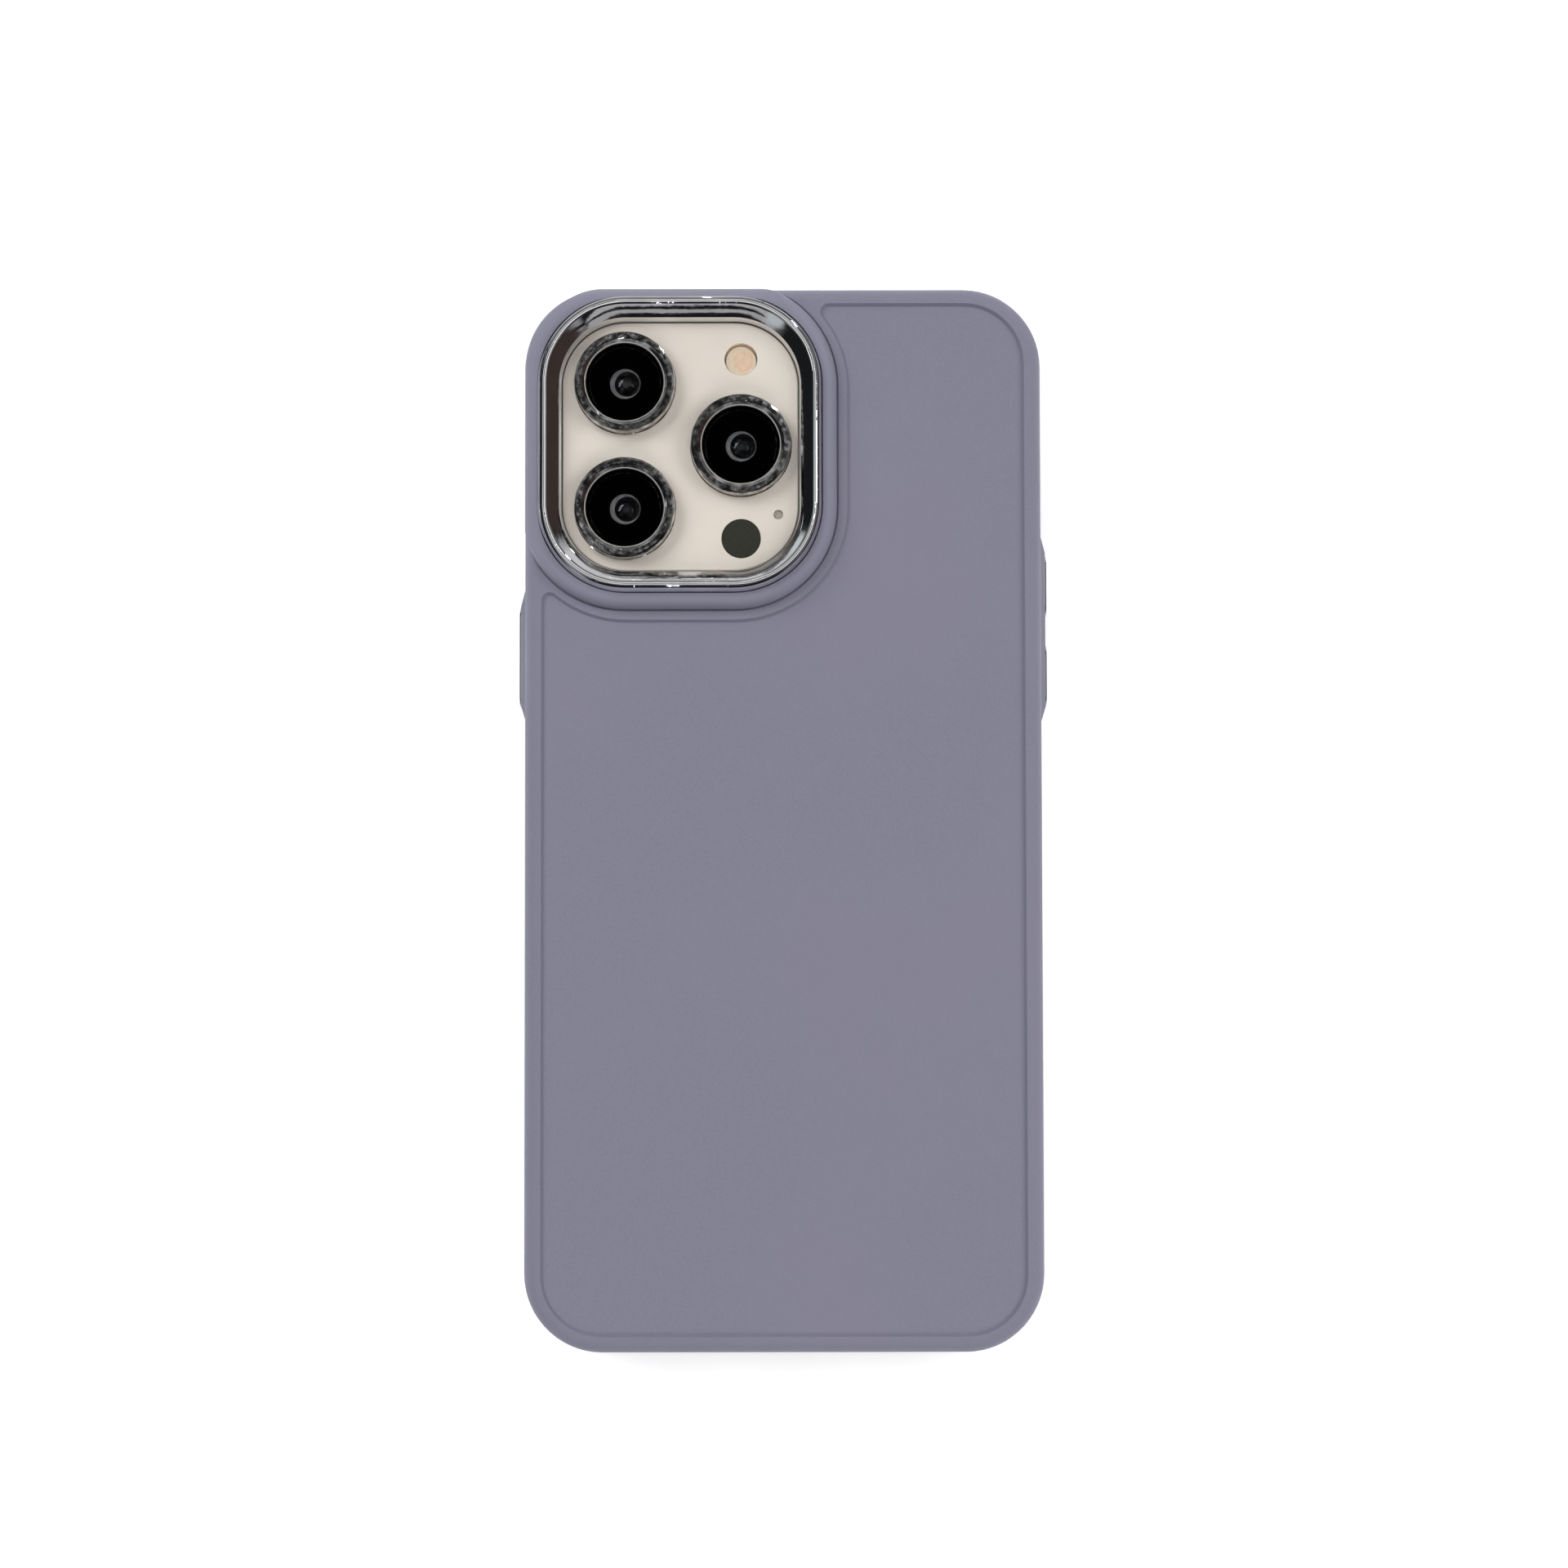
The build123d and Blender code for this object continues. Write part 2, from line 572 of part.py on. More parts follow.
def front_camera_lens():
    """The front camera's front element."""
    disc = post(*FRONT_CAM_AT, 1.15, 1.85, 2.9)
    return fillet(edges_at(disc, 1.85), 0.4)


def earpiece_speaker():
    """The small speaker behind the earpiece slot."""
    return fillet(block(*EARPIECE_BOX).edges().filter_by(Axis.Z), 1.0)


# ---------------------------------------------------------------- inside


def chassis_plate():
    """The thin plate on the band's ledge that carries the inner parts."""
    plate = phone_slab(BAND_WALL / 2 + FIT_GAP, *CHASSIS_Z)
    plate -= slab(*CAMERA_WELL, 0, 9, CAM_X, CAM_Y)
    return plate - post(*COIL_AT, COIL_R[1] + 0.6, 0, 9)


def battery():
    """The L-shaped battery."""
    cell = block(*BATTERY_TALL, BATTERY_Z) + block(*BATTERY_FOOT, BATTERY_Z)
    return fillet(cell.edges().filter_by(Axis.Z), 1.0)


def logic_board():
    """The main circuit board, beside the cameras."""
    board = block(*BOARD_XY, BOARD_Z) - block(*BOARD_NOTCH, BOARD_Z)
    return fillet(board.edges().filter_by(Axis.Z), 0.8)


def board_shields():
    """The metal cans over the chips, three above the board and two below it."""
    cans = [block(*limits, (BOARD_Z[1], CAN_HIGH)) for limits in CANS_ABOVE]
    cans += [block(*limits, (CAN_LOW, BOARD_Z[0])) for limits in CANS_BELOW]
    return Compound([fillet(can.edges().filter_by(Axis.Z), 0.6).solid() for can in cans])


def charging_coil():
    """The flat charging coil, as turns of flat wire joined by a bridge."""
    x, y = COIL_AT
    inner, outer = COIL_R
    pitch = (outer - inner) / COIL_TURNS
    coil = block((x + inner, x + outer - pitch / 2), (y - 0.4, y + 0.4), COIL_Z)
    for turn in range(COIL_TURNS):
        low = inner + turn * pitch
        coil += post(x, y, low + pitch * COIL_FILL, *COIL_Z) - post(x, y, low, 0, REAR_Z)
    return coil


def coil_ferrite():
    """The ferrite sheet between the coil and the battery."""
    return post(*COIL_AT, COIL_R[1] + 0.5, COIL_Z[0] - 0.35, COIL_Z[0] - 0.05)


def loudspeaker():
    """The bottom loudspeaker box, with a mouth towards the right grille."""
    box = fillet(block(*SPEAKER_BOX).edges().filter_by(Axis.Z), 1.5)
    return box + block(*SPEAKER_MOUTH) - block(*SPEAKER_DUCT)


def bottom_microphone():
    """The main microphone, behind the left grille."""
    return fillet(block(*MICROPHONE_BOX).edges().filter_by(Axis.Z), 0.4)


def grille_meshes():
    """The dust meshes behind the two bottom grilles."""
    pieces = []
    for side in (LEFT, RIGHT):
        xs = sorted((side * MESH_X[0], side * MESH_X[1]))
        pieces.append(block(xs, (INNER_Y + 0.05, INNER_Y + 0.3), MESH_Z).solid())
    return Compound(pieces)


def haptic_case():
    """The tray that holds the vibrating mass."""
    tray = block(HAPTIC_X, HAPTIC_Y, HAPTIC_Z)
    inside = [(low + HAPTIC_WALL, high - HAPTIC_WALL) for low, high in (HAPTIC_X, HAPTIC_Y)]
    return tray - block(*inside, (HAPTIC_Z[0] + HAPTIC_WALL, HAPTIC_Z[1]))


def haptic_lid():
    """The lid of the vibration motor."""
    lid = block(HAPTIC_X, HAPTIC_Y, (HAPTIC_Z[1], HAPTIC_Z[1] + HAPTIC_LID))
    return chamfer(lid.edges().filter_by(Axis.Z), 0.4)


def haptic_mass():
    """The mass that shakes along X inside the vibration motor."""
    side = HAPTIC_WALL + HAPTIC_GAP
    end = side + HAPTIC_TRAVEL + HAPTIC_SPRING
    limits = zip((HAPTIC_X, HAPTIC_Y, HAPTIC_Z), (end, side, side))
    mass = block(*[(low + gap, high - gap) for (low, high), gap in limits])
    return chamfer(mass.edges().filter_by(Axis.Z), 1.0)


def charging_port_shell():
    """The metal shell of the charging socket, closed at its inner end."""
    room_w, room_h = PORT_W - 2 * PORT_WALL, PORT_H - 2 * PORT_WALL
    shell = bottom_bar(0, PORT_W, PORT_H, -PORT_DEPTH, -0.1)
    return shell - bottom_bar(0, room_w, room_h, PORT_END - PORT_DEPTH, 1)


def charging_port_tongue():
    """The contact tongue in the middle of the socket."""
    root = -HALF_L + PORT_DEPTH - PORT_END
    half_w, half_t = TONGUE_W / 2, TONGUE_T / 2
    zs = (BAND_MID - half_t, BAND_MID + half_t)
    tongue = block((-half_w, half_w), (root - TONGUE_L, root), zs)
    return fillet(tongue.edges().filter_by(Axis.Z).group_by(Axis.Y)[0], 0.5)


def charging_port_body():
    """The plastic block that holds the socket."""
    half, start = PORT_BODY_W / 2, INNER_Y + 0.1
    body = block((-half, half), (start, INNER_Y + PORT_BODY_L), PORT_BODY_Z)
    room_w, room_h = PORT_W + 2 * FIT_GAP, PORT_H + 2 * FIT_GAP
    return body - bottom_bar(0, room_w, room_h, -PORT_DEPTH - FIT_GAP, 1)


def bottom_screws():
    """The two screws beside the socket."""
    screws = []
    for x in (-SCREW_X, SCREW_X):
        screw = bottom_rod(x, SCREW_HEAD_R, -0.7, -0.1) + bottom_rod(x, SCREW_SHANK_R, -2.3, -0.7)
        slot = bottom_rod(x, 0.35, -0.4, 0)
        screws.append((screw - slot).solid())
    return Compound(screws)


def inner_screws():
    """The small screws that hold the boards and modules to the chassis plate."""
    screws = [post(x, y, 0.95, 7.35, 7.75) + post(x, y, 0.55, 6.0, 7.35) for x, y in INNER_SCREWS]
    return Compound([screw.solid() for screw in screws])


def socket_cable():
    """The flat cable from the socket, under the battery, up to the board."""
    zs = (SHIELD_Z[1] + 0.02, BATTERY_Z[0])
    cable = block((-4, 4), (-76, 9.6), zs) + block((4, 19), (2, 9.6), zs)
    return cable + block((9, 19), (8.2, 9.6), (BATTERY_Z[0], BOARD_Z[0]))


def display_cable():
    """The flat cable from the display, through the board's notch."""
    flat = block((28.4, 34.4), (38, 50.2), (BOARD_Z[0] - FILM, BOARD_Z[0]))
    return flat + block((28.4, 34.4), (50, 50.2), (SHIELD_Z[1], BOARD_Z[0] - FILM))


def camera_cable():
    """The flat cable from the cameras to the board."""
    start = cam(LENSES["side"])[0] + HOUSING_SIDE / 2
    flat = block((start, 6.9), (52, 60), (3.4, 3.4 + FILM))
    return flat + block((6.9 - FILM, 6.9), (52, 60), (3.4, BOARD_Z[0]))


def key_cable(side, y_low, y_high, board_x, tail_y):
    """The flat cable along one side's key switches, with a tail to the board."""
    wall = HALF_W - BAND_WALL - 0.35
    strip_x = sorted((side * wall, side * (wall - FILM)))
    tail_x = sorted((side * (wall - FILM), board_x))
    strip = block(strip_x, (y_low, y_high), (3.6, 6.2))
    return strip + block(tail_x, tail_y, (BOARD_Z[1], BOARD_Z[1] + FILM))


def flex_cables():
    """The flat cables to the socket, display, cameras, volume keys and power key."""
    volume = key_cable(RIGHT, 16, 42, 28.0, (37, 42))
    power = key_cable(LEFT, 16, 38.6, 6.9, (37.0, 38.6))
    cables = (socket_cable(), display_cable(), camera_cable(), volume, power)
    return Compound([cable.solid() for cable in cables])


# ---------------------------------------------------------------- side keys


def side_key(name):
    """One side key of the phone: a bar through the band with a flange behind it."""
    side, y, length = KEYS[name]
    key_l = length - KEY_SHORTER
    bar = side_bar(side, y, key_l, KEY_H, KEY_FLANGE_U[0] + 0.2, KEY_PROUD)
    rim = bar.edges().group_by(Axis.X)[0 if side == LEFT else -1]
    flange = side_bar(side, y, key_l + 2 * KEY_FLANGE, KEY_H + 2 * KEY_FLANGE, *KEY_FLANGE_U)
    return fillet(rim, 0.2) + flange


def key_switches():
    """The dome switches behind the side keys, each on its backing plate."""
    foot, top = -BAND_WALL - 0.05, KEY_FLANGE_U[0] - KEY_TRAVEL - 0.04
    switches = []
    for side, y, _ in KEYS.values():
        dome = out_of_side(Circle(1.2), side, y, foot, top)
        plate = side_bar(side, y, 6.0, 3.0, foot - 0.3, foot)
        switches.append((dome + plate).solid())
    return Compound(switches)


def alert_slider():
    """The small slider above the volume keys that turns the ringer off."""
    z = BAND_MID - SLIDER_TRAVEL / 2
    bar = side_bar(RIGHT, SLIDER_Y, SLIDER_L, SLIDER_H, SLIDER_FLANGE_U[0], SLIDER_PROUD, z)
    bar = fillet(bar.edges().group_by(Axis.X)[-1], 0.25)
    return bar + side_bar(RIGHT, SLIDER_Y, SLIDER_L + 1.4, SLIDER_H + 0.8, *SLIDER_FLANGE_U, z)


SINGLE_PARTS = [
    cover_shell, cover_camera_ring, side_band, antenna_breaks, rear_glass, camera_plateau,
    screen_glass, screen_gasket, earpiece_mesh, lens_glasses, lens_baffles, camera_housings,
    sensor_boards, camera_bracket, flash_window, flash_led, depth_sensor_window,
    depth_sensor_module, rear_mic_mesh, display_panel, display_shield, front_camera_module,
    front_camera_lens, earpiece_speaker, chassis_plate, battery, logic_board, board_shields,
    charging_coil, coil_ferrite, loudspeaker, bottom_microphone, grille_meshes, haptic_case,
    haptic_lid, haptic_mass, charging_port_shell, charging_port_tongue, charging_port_body,
    bottom_screws, inner_screws, flex_cables, key_switches, alert_slider,
]
LENS_PARTS = [lens_ring, lens_barrel, front_element]


def all_parts():
    """Every node's name with its shape."""
    for make in SINGLE_PARTS:
        yield make.__name__, make()
    for make in LENS_PARTS:
        for name in LENSES:
            yield f"{make.__name__}_{name}", make(name)
    for name in KEYS:
        yield f"cover_{name}_button", cover_button(name)
        yield f"{name}_key", side_key(name)


def main():
    os.makedirs("parts", exist_ok=True)
    for name, shape in all_parts():
        export_step(shape, f"parts/{name}.step")


main()
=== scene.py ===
"""Looks for the smartphone in its soft cover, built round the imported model. Metres."""

import math

import bpy
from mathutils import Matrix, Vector


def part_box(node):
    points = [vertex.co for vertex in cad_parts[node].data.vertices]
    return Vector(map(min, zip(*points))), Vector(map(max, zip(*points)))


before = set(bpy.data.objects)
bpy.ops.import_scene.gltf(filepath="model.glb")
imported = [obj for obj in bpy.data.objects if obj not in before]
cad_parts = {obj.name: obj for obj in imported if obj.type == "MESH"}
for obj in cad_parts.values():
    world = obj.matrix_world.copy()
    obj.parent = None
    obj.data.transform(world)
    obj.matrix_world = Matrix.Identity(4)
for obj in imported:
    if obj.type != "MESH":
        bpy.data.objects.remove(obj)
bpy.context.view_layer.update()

MM = 0.001
SOCKETS = {
    "metallic": "Metallic", "roughness": "Roughness", "ior": "IOR",
    "transmission": "Transmission Weight", "specular": "Specular IOR Level",
    "coat": "Coat Weight", "coat_roughness": "Coat Roughness", "sheen": "Sheen Weight",
    "sheen_roughness": "Sheen Roughness", "glow": "Emission Strength",
}
LENS_NAMES = ("upper", "lower", "side")

# Where the tiny ceiling spots hang, in millimetres from the floor's middle, under the phone.
SPOTS_MM = [
    (-52, 986, 436), (-113, -539, 832), (-79, -539, 832), (-33, -539, 832),
    (40, 392, 960), (40, 268, 970),
]

# Places on the surfaces, in millimetres. The crease is the groove round the cover's back panel, where
# painted shade darkens it, and the collar is the cover's raised rim round the camera ring, where a
# painted
# highlight makes it paler: their heights are over the floor.
CREASE_Z, CREASE_REACH = 10.15, 0.17
CREASE_CORNER, CREASE_INSET = 10.45, 0.6
COLLAR_FOOT_Z, COLLAR_TOP_Z = 10.8, 12.2
BUTTON_FACE_REACH = 1.35

# Radii round a lens or the flash, in millimetres, between which one colour gives way to the next:
# the painted highlights of a pale line in each lens trim and of pale crescents on the barrels and the
# flash.
TRIM_HIGHLIGHT_R, TRIM_BARE_METAL_R = 6.16, 6.20
BARREL_HIGHLIGHT_R, BARREL_MOUTH_R = (1.92, 1.98), (2.38, 2.42)
FLASH_HIGHLIGHT_R = (1.55, 1.75)
# How far right the middles of the painted highlight crescents move, in millimetres, so they are wider
# on the left.
HIGHLIGHT_CRESCENT_SHIFT = 0.3


# ---------------------------------------------------------------- camera, floor and light


def add_camera():
    """The camera, almost straight above the phone, a little towards its lower end."""
    data = bpy.data.cameras.new("camera")
    data.lens = 41.08
    data.sensor_width = 36.0
    data.shift_y = 0.0677
    camera = bpy.data.objects.new("camera", data)
    camera.location = (0.05 * MM, -18.0 * MM, 285.0 * MM)
    camera.rotation_euler = (math.radians(1.4), 0, math.radians(-0.1))
    bpy.context.scene.collection.objects.link(camera)
    bpy.context.scene.camera = camera
    bpy.context.scene.view_settings.view_transform = "Standard"


def add_floor():
    """A plain pale floor, as wide as the lamps light it evenly."""
    half = 0.6
    mesh = bpy.data.meshes.new("floor")
    corners = [(-half, -half, 0), (half, -half, 0), (half, half, 0), (-half, half, 0)]
    mesh.from_pydata(corners, [], [(0, 1, 2, 3)])
    floor = bpy.data.objects.new("floor", mesh)
    bpy.context.scene.collection.objects.link(floor)
    look = Look("floor", roughness=0.8, glow=0.40)
    look.shader.inputs["Emission Color"].default_value = (1, 1, 1, 1)
    look.tint(look.noise(30.0), (0.86, 0.86, 0.86), (0.89, 0.89, 0.89))
    mesh.materials.append(look.material)


class Graph:
    """Short ways to add and join the nodes of one tree."""

    def node(self, kind, values=None, **settings):
        """A new node. Each input takes a constant or another node's output."""
        made = self.tree.nodes.new(kind)
        for name, setting in settings.items():
            setattr(made, name, setting)
        for place, value in (values or {}).items():
            if isinstance(value, bpy.types.NodeSocket):
                self.tree.links.new(value, made.inputs[place])
            else:
                made.inputs[place].default_value = value
        return made

    def number(self, operation, *values):
        """The result of maths on numbers."""
        return self.node("ShaderNodeMath", dict(enumerate(values)), operation=operation).outputs[0]

    def vector(self, operation, *values):
        """The result of vector maths, which is a number for a length or a dot product."""
        made = self.node("ShaderNodeVectorMath", dict(enumerate(values)), operation=operation)
        return made.outputs["Value" if operation in ("LENGTH", "DOT_PRODUCT") else "Vector"]

    def rise(self, pattern, start, end, low=0.0, high=1.0, **settings):
        """Goes from low to high as the pattern goes from start to end."""
        values = {"Value": pattern, "From Min": start, "From Max": end, "To Min": low, "To Max": high}
        return self.node("ShaderNodeMapRange", values, **settings).outputs["Result"]

    def ramp(self, pattern, low, high, start, end):
        """A colour that goes from low to high as the pattern goes from start to end."""
        made = self.node("ShaderNodeValToRGB", {"Fac": pattern})
        for stop, place, colour in zip(made.color_ramp.elements, (start, end), (low, high)):
            stop.position = place
            stop.color = (*colour, 1)
        return made.outputs["Color"]

    def blend(self, mask, under, colour):
        """One colour laid over another where the mask is high."""
        values = {"Factor": mask, 6: under, 7: (*colour, 1)}
        return self.node("ShaderNodeMix", values, data_type="RGBA").outputs[2]


class Room(Graph):
    """The world: a pale background for the camera and a studio room for light and reflections."""

    def __init__(self):
        world = bpy.data.worlds.new("studio")
        world.use_nodes = True
        bpy.context.scene.world = world
        self.tree = world.node_tree
        self.background = self.tree.nodes["Background"]
        self.direction = self.node("ShaderNodeTexCoord").outputs["Generated"]
        self.colour = None

    def streaks(self, stretch, dark, pale):
        """Soft level streaks, as of walls, shelves and windows seen from below."""
        scaled = self.vector("MULTIPLY", self.direction, stretch)
        noise = self.node("ShaderNodeTexNoise", {"Scale": 1.6, "Detail": 2.0, "Vector": scaled})
        self.colour = self.ramp(noise.outputs["Fac"], dark, pale, 0.42, 0.60)

    def along(self, axis, start, end, both_ways=False):
        """A mask that rises from start to end with the direction's part along an axis."""
        part = self.vector("DOT_PRODUCT", self.direction, axis)
        if both_ways:
            part = self.number("ABSOLUTE", part)
        return self.rise(part, start, end, interpolation_type="SMOOTHSTEP")

    def patch(self, azimuth, elevation, inner, outer, colour):
        """A soft round patch of one colour, between two angles from its middle."""
        a, e = math.radians(azimuth), math.radians(elevation)
        middle = (math.cos(a) * math.cos(e), math.sin(a) * math.cos(e), math.sin(e))
        mask = self.along(middle, math.cos(math.radians(outer)), math.cos(math.radians(inner)))
        self.colour = self.blend(mask, self.colour, colour)

    def panel(self, azimuth, elevation, width, height, colour):
        """A long softbox on a wall, from its half width and half height as angles."""
        side_blur, end_blur = 8, 1
        a, e = math.radians(azimuth), math.radians(elevation)
        front = (math.cos(a), math.sin(a), 0)
        up = (-math.cos(a) * math.sin(e), -math.sin(a) * math.sin(e), math.cos(e))
        wide_edges = math.cos(math.radians(width + side_blur)), math.cos(math.radians(width))
        tall_edges = math.sin(math.radians(height + end_blur)), math.sin(math.radians(height))
        wide = self.along(front, *wide_edges)
        tall = self.along(up, *tall_edges, both_ways=True)
        self.colour = self.blend(self.number("MULTIPLY", wide, tall), self.colour, colour)

    def finish(self, backdrop):
        """Shows the plain backdrop to the camera and the room to everything else."""
        self.tree.links.new(self.colour, self.background.inputs["Color"])
        plain = self.node("ShaderNodeBackground", {"Color": (*backdrop, 1)})
        seen = self.node("ShaderNodeLightPath").outputs["Is Camera Ray"]
        shaders = {0: seen, 1: self.background.outputs[0], 2: plain.outputs[0]}
        mix = self.node("ShaderNodeMixShader", shaders)
        self.tree.links.new(mix.outputs[0], self.tree.nodes["World Output"].inputs["Surface"])


def add_room():
    """A dim room with streaky walls, long lamps at both ends, a bright ceiling and two pinpoints."""
    room = Room()
    room.streaks((1.0, 1.0, 7.0), (0.008, 0.008, 0.010), (0.36, 0.36, 0.37))
    room.patch(-90, 26, 34, 44, (0.010, 0.010, 0.012))
    room.panel(-90, 31.6, 40, 1.2, (0.42, 0.42, 0.43))
    room.panel(-90, 24.6, 40, 1.7, (0.36, 0.36, 0.37))
    room.patch(0, 8, 30, 48, (0.045, 0.032, 0.029))
    room.patch(180, 12, 28, 45, (0.010, 0.011, 0.012))
    room.panel(90, 8, 34, 8, (0.60, 0.60, 0.61))
    room.patch(-135, 25, 4, 12, (0.50, 0.53, 0.56))
    room.patch(135, 4, 4, 12, (0.55, 0.60, 0.60))
    room.patch(95, 76, 16, 21, (0.80, 0.80, 0.81))
    room.patch(102, 74, 4.8, 6.6, (0.015, 0.015, 0.015))
    room.patch(30, 60, 1.2, 2.0, (60.0, 60.0, 60.0))
    room.patch(60, 36, 1.2, 2.0, (60.0, 60.0, 60.0))
    room.finish((1.0, 1.0, 1.0))


def add_softbox(name, place, size, watts):
    """A soft light that points at the middle of the phone and leaves no mirror image."""
    data = bpy.data.lights.new(name, "AREA")
    data.shape = "RECTANGLE"
    data.size, data.size_y = size
    data.energy = watts
    light = bpy.data.objects.new(name, data)
    light.location = place
    light.rotation_euler = (-Vector(place)).to_track_quat("-Z", "Y").to_euler()
    light.visible_glossy = False
    bpy.context.scene.collection.objects.link(light)


def add_spot(place_mm):
    """A tiny bright ceiling spot, which gives the polished edges their sparkles."""
    data = bpy.data.lights.new("spot", "POINT")
    data.energy = 0.16
    data.shadow_soft_size = 2.0 * MM
    light = bpy.data.objects.new("spot", data)
    light.location = [part * MM for part in place_mm]
    bpy.context.scene.collection.objects.link(light)


def add_lights():
    """The key stands beyond the top left corner, with weaker lights to the right and below."""
    add_softbox("key", (-0.75, 0.6, 0.65), (0.9, 0.6), 9.8)
    add_softbox("side", (0.9, 0.1, 0.55), (0.8, 0.5), 5.9)
    add_softbox("fill", (0.1, -0.9, 0.6), (0.9, 0.5), 5.0)
    for place in SPOTS_MM:
        add_spot(place)


# ---------------------------------------------------------------- materials


class Look(Graph):
    """A procedural material: patterns in the frame's metres that feed one Principled shader."""

    def __init__(self, name, **constants):
        self.material = bpy.data.materials.new(name)
        self.material.use_nodes = True
        self.tree = self.material.node_tree
        self.shader = self.tree.nodes["Principled BSDF"]
        self.place = self.node("ShaderNodeTexCoord").outputs["Object"]
        self.colour = None
        self.normal = None
        for constant, value in constants.items():
            self.shader.inputs[SOCKETS[constant]].default_value = value

    def feed(self, place, output):
        """Joins an output to one of the shader's inputs."""
        self.tree.links.new(output, self.shader.inputs[place])

    def noise(self, size, detail=2.0, stretch=(1, 1, 1)):
        """Cloudy noise with features of about size millimetres."""
        scaled = self.node("ShaderNodeMapping", {"Scale": stretch, "Vector": self.place})
        values = {"Scale": 1 / (size * MM), "Detail": detail, "Vector": scaled.outputs["Vector"]}
        return self.node("ShaderNodeTexNoise", values).outputs["Fac"]

    def cells(self, size):
        """Distance to the nearest of scattered points, for tracks on a board."""
        values = {"Scale": 1 / (size * MM), "Vector": self.place}
        return self.node("ShaderNodeTexVoronoi", values).outputs["Distance"]

    def spread(self, nodes, shift=0.0):
        """The level distance from the nearest of some nodes' middles, in millimetres."""
        nearest = None
        for name in nodes:
            low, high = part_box(name)
            middle = (low + high) / 2 + Vector((shift * MM, 0, 0))
            away = self.vector("SUBTRACT", self.place, middle)
            level = self.vector("MULTIPLY", away, (1 / MM, 1 / MM, 0))
            found = self.vector("LENGTH", level)
            nearest = self.number("MINIMUM", nearest, found) if nearest else found
        return nearest

    def close(self, pattern, middle, reach):
        """A mask of where the pattern is within reach of a middle value."""
        return self.number("COMPARE", pattern, middle, reach)

    def both(self, one, other):
        """A mask of where two masks meet."""
        return self.number("MULTIPLY", one, other)

    def inside(self, name, radius, inset):
        """A mask of what lies further than inset within a node's rounded outline, in millimetres."""
        low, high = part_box(name)
        core = (high - low) / 2 - Vector((radius, radius, 0)) * MM
        away = self.vector("SUBTRACT", self.place, (low + high) / 2)
        past_core = self.vector("SUBTRACT", self.vector("ABSOLUTE", away), core)
        outward = self.vector("MAXIMUM", past_core, (0, 0, 0))
        level = self.vector("MULTIPLY", outward, (1, 1, 0))
        return self.number("LESS_THAN", self.vector("LENGTH", level), (radius - inset) * MM)

    def height(self):
        """The height above the floor, in metres."""
        return self.node("ShaderNodeSeparateXYZ", {0: self.place}).outputs["Z"]

    def wave(self, place, axis, size):
        """Even ripples along one axis, or round it."""
        wave_type = "RINGS" if axis == "ROUND" else "BANDS"
        values = {"Scale": math.pi / (10 * size * MM), "Vector": place}
        wave = self.node("ShaderNodeTexWave", values, wave_type=wave_type)
        if axis == "ROUND":
            wave.rings_direction = "Z"
        else:
            wave.bands_direction = axis
        return wave.outputs["Fac"]

    def rings(self, node, size):
        """Ripples round the middle of a node, size millimetres apart."""
        low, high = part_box(node)
        moved = self.vector("SUBTRACT", self.place, (low + high) / 2)
        return self.wave(moved, "ROUND", size)

    def weave(self, size):
        """Crossed ripples, size millimetres apart, as in a woven mesh."""
        return self.both(self.wave(self.place, "X", size), self.wave(self.place, "DIAGONAL", size))

    def tint(self, pattern, low, high):
        """The surface colour goes from low to high with the pattern."""
        self.colour = self.ramp(pattern, low, high, 0.35, 0.65)
        self.feed("Base Color", self.colour)

    def over(self, pattern, colour, start, end):
        """Lays a second colour over the first as the pattern goes from start to end."""
        self.colour = self.blend(self.rise(pattern, start, end), self.colour, colour)
        self.feed("Base Color", self.colour)

    def bare(self, pattern, start, end):
        """The surface goes from painted to bare metal as the pattern goes from start to end."""
        self.feed("Metallic", self.rise(pattern, start, end))

    def gloss(self, pattern, low, high, start=0.35, end=0.65):
        """The roughness goes from low to high as the pattern goes from start to end."""
        self.feed("Roughness", self.rise(pattern, start, end, low, high))

    def relief(self, pattern, height):
        """Raises the surface by up to height millimetres where the pattern is high."""
        bump = self.node("ShaderNodeBump", {"Distance": height * MM, "Height": pattern})
        if self.normal:
            self.tree.links.new(self.normal, bump.inputs["Normal"])
        self.normal = bump.outputs["Normal"]
        self.feed("Normal", self.normal)


def soft_cover():
    """Matte soft-touch elastomer with a fine grain, a painted highlight that makes the collar paler and
    painted shade that darkens the panel crease.
    """
    look = Look("soft_cover", sheen=0.12, sheen_roughness=0.4, specular=0.35)
    look.tint(look.noise(0.35), (0.201, 0.199, 0.261), (0.214, 0.212, 0.276))
    look.over(look.noise(40.0), (0.221, 0.212, 0.270), 0.45, 0.8)
    # Painted highlight: the raised collar is made paler towards its top, as if more light fell on it.
    look.over(look.height(), (0.236, 0.231, 0.296), COLLAR_FOOT_Z * MM, COLLAR_TOP_Z * MM)
    # Painted shade: the groove round the back panel is darkened where shade falls in its step.
    at_crease = look.close(look.height(), CREASE_Z * MM, CREASE_REACH * MM)
    crease = look.both(at_crease, look.inside("side_band", CREASE_CORNER, CREASE_INSET))
    look.over(crease, (0.180, 0.177, 0.230), 0.0, 1.0)
    look.gloss(look.noise(9.0, detail=4.0), 0.58, 0.70)
    look.relief(look.noise(0.22), 0.006)
    return look.material


